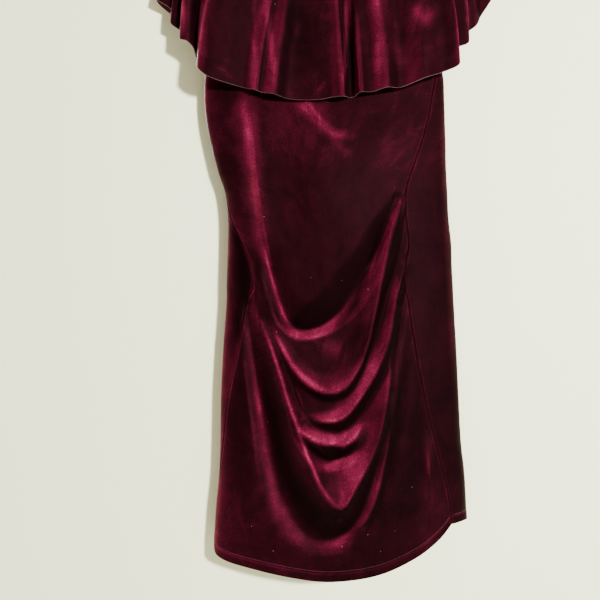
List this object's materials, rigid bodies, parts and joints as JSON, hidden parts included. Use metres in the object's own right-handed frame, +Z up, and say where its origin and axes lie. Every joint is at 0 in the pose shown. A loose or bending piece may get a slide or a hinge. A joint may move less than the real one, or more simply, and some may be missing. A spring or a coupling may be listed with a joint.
{
  "type": "velvet bodycon dress on a hanger",
  "caption": "Long fitted stretch velvet dress with a circular flounce and a draped front, hanging flat on a plain wooden hanger.",
  "frame": {"origin": "inside top of the hanger's hook, where the rod carries it", "axes": "+Z up, -Y the front of the dress, +Y the back towards the wall, +X the right-hand side seen from the front"},
  "size_m": [0.6, 0.1157, 1.3251],
  "materials": {
    "velvet": "crushed velvet pile",
    "hanger_wood": "satin varnish",
    "hook_steel": "polished wire"
  },
  "bodies": {
    "root": {"dress_front": "velvet", "dress_back": "velvet", "flounce_front": "velvet", "flounce_back": "velvet", "hanger_bar": "hanger_wood", "hanger_hook": "hook_steel"}
  },
  "joints": []
}
